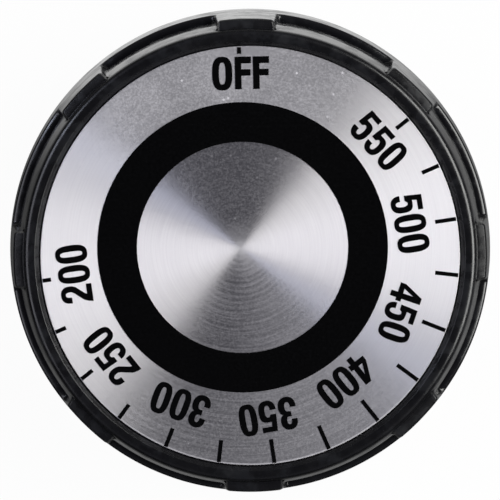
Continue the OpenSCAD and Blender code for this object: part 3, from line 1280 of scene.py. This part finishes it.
GLYPHS = {
    "0": Glyph(55, (
        (Bow(27.5, 50, 27.7, 49.3, 0, 352, 2.75, 48),),
        (Bow(27.5, 50, 8.2, 34.4, 0, 351, 3.15, 40),),
    )),
    "2": Glyph(55, ((
        Corners(((1.2, 65.7), (19.4, 66))),
        Bow(28, 69.7, 8, 14.5, 178, -18, 2.4, 18),
        Corners((
            (30.4, 55.3), (21.5, 45.7), (7.2, 28), (2.7, 15.5), (1.4, 7.5), (0.4, 1.6), (56, 1.6),
            (56, 18.1), (25.4, 18.1), (27, 23.6), (40.2, 39.5), (49.9, 51.2),
        )),
        Bow(28, 70.1, 26.4, 28.2, -16, 180, 2.4, 28),
    ),)),
    "3": Glyph(55, ((
        Corners(((2, 68.6), (18.9, 68.6))),
        Bow(27, 72, 7.1, 12.2, 182, -90, 2.3, 24),
        Corners(((17.9, 60.2), (18.8, 44.2))),
        Bow(27.5, 29.5, 8.6, 14.3, 90, -178, 2.3, 24),
        Corners(((18.9, 31.6), (1.2, 31.7))),
        Bow(28.1, 28.9, 27.7, 30.4, -176, 42, 2.2, 28),
        Corners(((44.3, 52.1),)),
        Bow(27.8, 74, 25.8, 26.7, -35, 184, 2.15, 26),
    ),)),
    "4": Glyph(60, (
        (Corners((
            (31, 97.4), (50.9, 97.4), (50.9, 37.6), (60, 37.6), (60, 20.7), (50.9, 20.7), (50.9, 0.4),
            (33.2, 0.4), (33.2, 20.7), (2.9, 20.7), (2.9, 37.4),
        )),),
        (Corners(((33, 37.6), (33, 69.6), (18.3, 37.6))),),
    )),
    "5": Glyph(55, ((
        Corners(((5.4, 97.2), (51.3, 97.2), (51.3, 81.4), (20.8, 81.4))),
        Bow(26.6, 32.4, 28.2, 34.5, 97, 0, 3.16, 16),
        Bow(27.7, 34.1, 27.3, 34.1, -5, -168, 2.4, 24),
        Corners(((1, 30.1), (20.4, 30.1))),
        Bow(27.7, 33.6, 8.5, 18.6, -164, 140, 2.4, 26),
        Corners(((18.2, 44.1), (2.3, 44.4))),
    ),)),
    "O": Glyph(64, (
        (Bow(32, 50, 30.4, 50.7, 0, 352, 2.65, 48),),
        (Bow(32, 50, 9.8, 32.7, 0, 351, 2.95, 40),),
    )),
    "F": Glyph(48, ((Corners((
        (-0.5, 2.1), (-0.5, 99.9), (48.5, 99.9), (48.5, 79.6), (19.1, 79.6), (19.1, 62.1), (46.6, 62.1),
        (46.6, 42.6), (19.1, 42.6), (19.1, 2.1),
    )),),)),
}


@dataclass(frozen=True)
class Caption:
    """One word on the dial, placed about the print's centre."""

    text: str
    radius: float
    bearing: float
    turn: float
    height: float = 4.19
    pitch: float = 2.6
    gap: float = 0.0

    def outlines(self) -> list[Array]:
        """Places the outlines of the word's characters.

        The characters stand a fixed pitch apart, or with a fixed gap where pitch is 0. The word is
        centred, turned clockwise by turn, and moved out along its bearing.

        Returns:
            The outlines, in mm about the print's centre.
        """
        unit = self.height / GRID
        glyphs = [GLYPHS[c] for c in self.text]
        widths = np.array([g.width for g in glyphs]) * unit
        if self.pitch:
            middles = (np.arange(len(glyphs)) - (len(glyphs) - 1) / 2) * self.pitch
        else:
            starts = np.concatenate([[0], np.cumsum(widths + self.gap)[:-1]])
            middles = starts + widths / 2 - (widths.sum() + self.gap * (len(glyphs) - 1)) / 2
        angle, away = np.radians(self.turn), np.radians(self.bearing)
        spin = np.array([[np.cos(angle), -np.sin(angle)], [np.sin(angle), np.cos(angle)]])
        move = self.radius * np.array([np.sin(away), np.cos(away)])
        return [
            ((loop - (0, GRID / 2)) * unit - (width / 2 - middle, 0)) @ spin + move
            for glyph, width, middle in zip(glyphs, widths, middles)
            for loop in glyph.outlines()
        ]


@dataclass
class Dial:
    """The spun plate and its print: ring and scale marks from the CAD, and the lettering."""

    name: str = "dial_lettering"
    plate_finish: SpunAluminium = field(default_factory=SpunAluminium)
    ink_finish: ScreenInk = field(default_factory=ScreenInk)
    face_z: float = 21.7
    ink_t: float = 0.04
    weld_mm: float = 0.001
    print_at: tuple[float, float] = (-0.915, 1.09)
    captions: tuple[Caption, ...] = (
        Caption("OFF", 22.41, 0.2, -0.1, height=4.28, pitch=0.0, gap=0.277),
        Caption("550", 22.21, 52.95, 49.36),
        Caption("500", 21.75, 82.85, 81.63),
        Caption("450", 21.99, 113.53, 109.99),
        Caption("400", 21.75, 143.42, 142.26),
        Caption("350", 22.08, 172.5, 170.79),
        Caption("300", 21.79, 202.69, 200.95),
        Caption("250", 22.0, 231.56, 232.55),
        Caption("200", 22.0, 262.01, 263.08),
    )

    def lettering(self) -> bpy.types.Object:
        """Builds the numbers and OFF as one film of ink on the plate.

        Returns:
            The lettering's object.
        """
        curve = bpy.data.curves.new(self.name, "CURVE")
        curve.dimensions = "2D"
        curve.fill_mode = "BOTH"
        curve.extrude = self.ink_t / 2 * MM
        for caption in self.captions:
            for loop in caption.outlines():
                spline = curve.splines.new("POLY")
                spline.points.add(len(loop) - 1)
                points = np.zeros((len(loop), 4), np.float32)
                points[:, :2] = (loop + self.print_at) * MM
                points[:, 3] = 1
                spline.points.foreach_set("co", points.ravel())
                spline.use_cyclic_u = True
        drawn = new_object(self.name + "_curve", curve)
        mesh = bpy.data.meshes.new_from_object(drawn)
        bpy.data.objects.remove(drawn)
        mesh.name = self.name
        mesh.transform(Matrix.Translation((0, 0, (self.face_z + self.ink_t / 2) * MM)))
        shape = bmesh.new()
        shape.from_mesh(mesh)
        bmesh.ops.remove_doubles(shape, verts=shape.verts, dist=self.weld_mm * MM)
        bmesh.ops.recalc_face_normals(shape, faces=shape.faces)
        shape.to_mesh(mesh)
        shape.free()
        return new_object(self.name, mesh)

    def build(self) -> list[bpy.types.Object]:
        """Dresses the plate and the CAD's print, and adds the lettering.

        Returns:
            The plate, the print and the lettering.
        """
        ink = self.ink_finish.build()
        plate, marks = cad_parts["dial_plate"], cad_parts["dial_print"]
        dress(plate, self.plate_finish.build())
        dress(marks, ink)
        words = self.lettering()
        words.data.materials.clear()
        words.data.materials.append(ink)
        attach(words, BODY)
        return [plate, marks, words]


def dress(node: bpy.types.Object, material: bpy.types.Material) -> None:
    """Puts a material into every slot of a CAD node.

    Args:
        node: the CAD node's object.
        material: what it gets.
    """
    if not node.material_slots:
        node.data.materials.append(material)
    for slot in node.material_slots:
        slot.material = material


# The spring


@dataclass
class ShaftSpring:
    """Bowed steel leaf in the hub's slot, with a flat foot at each end.

    Between its feet the leaf rises as one whole cosine wave. Its section is a strip with rounded
    edges, carried along that line at right angles to it.
    """

    name: str = "leaf_spring"
    finish: SpringSteel = field(default_factory=SpringSteel)
    leaf_t: float = 0.4
    leaf_w: float = 2.8
    leaf_l: float = 9.0
    foot_l: float = 1.2
    back_y: float = 3.35
    top_z: float = 15.9
    rise: float = 0.615
    edge_r: float = 0.12
    # Facets in a rounded edge, longest step in the section, and stations along the leaf
    edge_n: int = 4
    section_step: float = 0.5
    stations: int = 60

    def build(self) -> list[bpy.types.Object]:
        """Builds and dresses the leaf, and lets it stand for the CAD node.

        Returns:
            The leaf's object.
        """
        along = np.linspace(0, self.leaf_l, self.stations)
        phase = np.clip((along - self.foot_l) / (self.leaf_l - 2 * self.foot_l), 0, 1) * 2 * np.pi
        height = self.rise * (1 - np.cos(phase)) / 2 + self.leaf_t / 2
        line = np.stack([height, along], axis=1)
        run = np.gradient(line, axis=0)
        run /= np.linalg.norm(run, axis=1, keepdims=True)
        normal = np.stack([run[:, 1], -run[:, 0]], axis=1)
        half_w, half_t, q = self.leaf_w / 2, self.leaf_t / 2, self.edge_r
        section = filled(rounded_path([
            (0, half_t, 0), (half_w, half_t, q), (half_w, -half_t, q),
            (-half_w, -half_t, q), (-half_w, half_t, q), (0, half_t, 0),
        ], self.edge_n), self.section_step)[:-1]
        across = section[None, :, :1] + np.zeros((self.stations, 1, 1))
        spot = line[:, None] + normal[:, None] * section[None, :, 1:]
        rows = np.concatenate([
            across, spot[..., :1] - self.back_y, spot[..., 1:] + self.top_z - self.leaf_l
        ], axis=-1)
        leaf = grid_object(self.name, rows, (rows[0].mean(0), rows[-1].mean(0)))
        leaf.data.materials.append(self.finish.build())
        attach(leaf, BODY)
        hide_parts("shaft_spring")
        return [leaf]


# The studio


@dataclass(frozen=True)
class Softbox:
    """A square lamp that points at the knob, placed by bearing clockwise from +Y."""

    name: str
    bearing: float
    elevation: float
    distance: float
    width: float
    height: float
    radiance: float
    tint: str = "#ffffff"

    def build(self, target: Vector) -> bpy.types.Object:
        """Makes the lamp. Its power is radiance times pi times its area.

        Args:
            target: the point that it faces, in metres.

        Returns:
            The lamp's object.
        """
        lamp = bpy.data.lights.new(self.name, "AREA")
        lamp.shape = "RECTANGLE"
        lamp.size, lamp.size_y = self.width, self.height
        lamp.energy = self.radiance * np.pi * self.width * self.height
        lamp.color = linear(self.tint)[:3]
        away, up = np.radians(self.bearing), np.radians(self.elevation)
        offset = Vector((np.sin(away) * np.cos(up), np.cos(away) * np.cos(up), np.sin(up))) * self.distance
        made = new_object(self.name, lamp)
        made.location = target + offset
        made.rotation_euler = (-offset).to_track_quat("-Z", "Y").to_euler()
        return made


@dataclass
class Studio:
    """White paper sweep, soft lamps at both sides and a dim room above."""

    paper: SweepPaper = field(default_factory=SweepPaper)
    low_walls: str = "#26262a"
    walls: str = "#68686e"
    ceiling: str = "#2c2c30"
    wall_rise: tuple[float, float] = (0.1, 0.45)
    ceiling_rise: tuple[float, float] = (0.7, 1.0)
    floor_r: float = 3.0
    sweep_r: float = 0.9
    wall_top: float = 1.6
    # Facets of the sweep: in its curve and all round
    curve_n: int = 16
    round_n: int = 128
    lamps: tuple[Softbox, ...] = (
        Softbox("right_softbox", 79, 38, 0.9, 1.04, 0.5, 7.2, "#fdfdfa"),
        Softbox("left_reflector", 274, 38, 0.9, 0.9, 0.5, 1.7, "#f4f4ff"),
        Softbox("left_strip", 302, 38, 0.9, 0.06, 0.5, 8.5, "#dce6ff"),
    )
    frame_px: float = 500.0
    sensor_mm: float = 36.0
    px_per_mm: float = 7.777
    camera_distance: float = 775.0
    camera_tilt: float = 2.42
    camera_roll: float = 1.03
    front_px: tuple[float, float] = (250.15, 256.0)
    front_z: float = 22.2

    def sweep(self) -> bpy.types.Object:
        """Builds the round floor, whose edge curves up into a low wall.

        Returns:
            The sweep's object.
        """
        path = rounded_path([
            (MM, 0, 0), (self.floor_r + self.sweep_r, 0, self.sweep_r),
            (self.floor_r + self.sweep_r, self.wall_top, 0),
        ], self.curve_n)
        bearing = np.linspace(0, 360, self.round_n, endpoint=False)
        rings = from_polar(bearing[None], path[:, :1], path[:, 1:])
        count, columns = rings.shape[:2]
        index = np.arange(count * columns).reshape(count, columns)
        after = np.roll(index, -1, axis=1)
        quads = np.stack([index[:-1], index[1:], after[1:], after[:-1]], axis=-1).reshape(-1, 4)
        mesh = bpy.data.meshes.new("paper_sweep")
        mesh.from_pydata(rings.reshape(-1, 3).tolist(), [], [*quads.tolist(), index[0][::-1].tolist()])
        mesh.shade_smooth()
        made = new_object("paper_sweep", mesh)
        made.data.materials.append(self.paper.build())
        return made

    def camera(self) -> bpy.types.Object:
        """Places the camera as the photograph was taken, from in front and a little towards OFF.

        The camera looks at a point beside the middle of the knob's front, so that this middle lies
        at front_px in the frame. The lens makes a millimetre there px_per_mm pixels.

        Returns:
            The camera's object.
        """
        roll, tilt = np.radians(self.camera_roll), np.radians(self.camera_tilt)
        up_flat = np.array([np.sin(roll), np.cos(roll), 0])
        back = up_flat * np.sin(tilt) + np.array([0, 0, np.cos(tilt)])
        right = np.cross(up_flat, back)
        right /= np.linalg.norm(right)
        up = np.cross(back, right)
        middle = self.frame_px / 2
        aim = (
            np.array([0, 0, self.front_z])
            + right * (middle - self.front_px[0]) / self.px_per_mm
            + up * (self.front_px[1] - middle) / self.px_per_mm
        )
        data = bpy.data.cameras.new("photo_camera")
        data.sensor_width = self.sensor_mm
        data.lens = self.sensor_mm * self.px_per_mm * self.camera_distance / self.frame_px
        made = new_object("photo_camera", data)
        place = Matrix(np.stack([right, up, back], axis=1).tolist()).to_4x4()
        place.translation = Vector((aim + back * self.camera_distance) * MM)
        made.matrix_world = place
        bpy.context.scene.camera = made
        return made

    def room(self) -> bpy.types.World:
        """Makes the dim room: darkest near the floor and overhead, where the camera hangs.

        Returns:
            The world.
        """
        world = bpy.data.worlds.new("dim_room")
        world.use_nodes = True
        world.node_tree.nodes.clear()
        node = partial(add_node, world.node_tree)
        rise = node("SeparateXYZ", {"Vector": node("TexCoord")["Generated"]})["Z"]
        shade = linear(self.low_walls)
        for start, end, tint in ((*self.wall_rise, self.walls), (*self.ceiling_rise, self.ceiling)):
            share = node("MapRange", (rise, start, end))["Result"]
            shade = node(
                "Mix", {"Factor": share, "A": shade, "B": linear(tint)}, data_type="RGBA"
            )["Result"]
        light = node("Background", {"Color": shade, "Strength": 1.0})["Background"]
        node("OutputWorld", {"Surface": light})
        return world

    def build(self) -> None:
        """Builds the sweep, the lamps, the room and the camera."""
        self.sweep()
        target = Vector((0, 0, self.front_z * MM))
        for lamp in self.lamps:
            lamp.build(target)
        bpy.context.scene.world = self.room()
        bpy.context.scene.view_settings.view_transform = "Standard"
        self.camera()
        log.info("studio: %d lamps", len(self.lamps))


def main() -> None:
    """Builds the knob's pieces in order and reports each one, then builds the studio."""
    logging.basicConfig(level=logging.INFO, format="%(name)s: %(message)s")
    for assembly in (KnobBody(), Dial(), ShaftSpring()):
        for piece in assembly.build():
            finish = piece.material_slots[0].material.name
            log.info("%s: %d faces, %s", piece.name, len(piece.data.polygons), finish)
    Studio().build()


if __name__ == "__main__":
    main()
